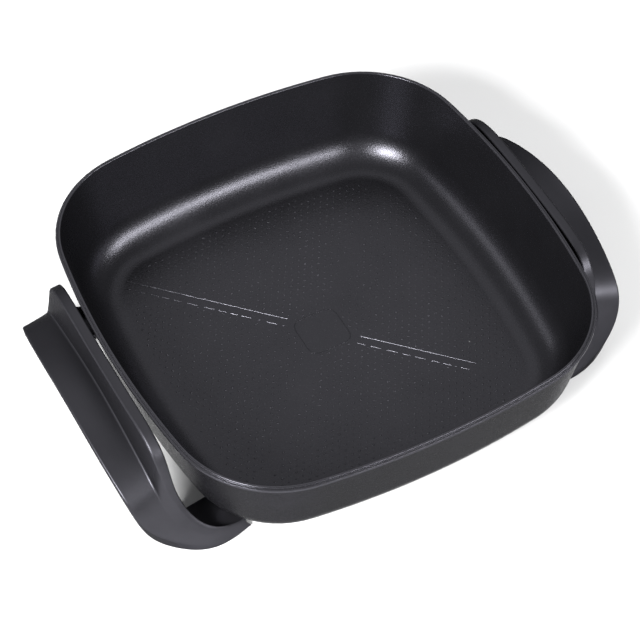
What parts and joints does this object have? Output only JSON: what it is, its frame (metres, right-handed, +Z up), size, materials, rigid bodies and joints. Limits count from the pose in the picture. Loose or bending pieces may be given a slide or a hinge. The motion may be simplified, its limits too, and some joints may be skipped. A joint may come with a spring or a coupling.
{
  "type": "electric skillet",
  "caption": "Deep rounded-square electric frying pan with a patterned non-stick base, carried by two arched handle-and-leg mouldings.",
  "frame": {"origin": "on the surface it stands on, under the middle of the pan", "axes": "+Z up, X from the left handle to the right handle (the socket side is +X), Y from front to back"},
  "size_m": [0.3786, 0.316, 0.088],
  "materials": {
    "coated_aluminium": "satin dark non-stick coating on cast aluminium",
    "phenolic": "satin black moulded phenolic",
    "element_sheath": "dull heat-tinted steel sheath",
    "steel": "bright plated steel",
    "ceramic": "unglazed off-white ceramic",
    "brass": "plain brass",
    "rubber": "matt black rubber"
  },
  "bodies": {
    "root": {"pan": "coated_aluminium", "left_handle": "phenolic", "right_handle": "phenolic", "probe_guard": "phenolic", "heating_element": "element_sheath", "ceramic_bush_front": "ceramic", "ceramic_bush_back": "ceramic", "terminal_pin_front": "steel", "terminal_pin_back": "steel", "guard_screw_front": "steel", "guard_screw_back": "steel", "earth_clip": "steel", "sensor_sleeve": "brass", "leg_screw_front_left": "steel", "leg_screw_front_right": "steel", "leg_screw_back_left": "steel", "leg_screw_back_right": "steel", "leg_washer_front_left": "steel", "leg_washer_front_right": "steel", "leg_washer_back_left": "steel", "leg_washer_back_right": "steel", "foot_pad_front_left": "rubber", "foot_pad_front_right": "rubber", "foot_pad_back_left": "rubber", "foot_pad_back_right": "rubber"}
  },
  "joints": []
}
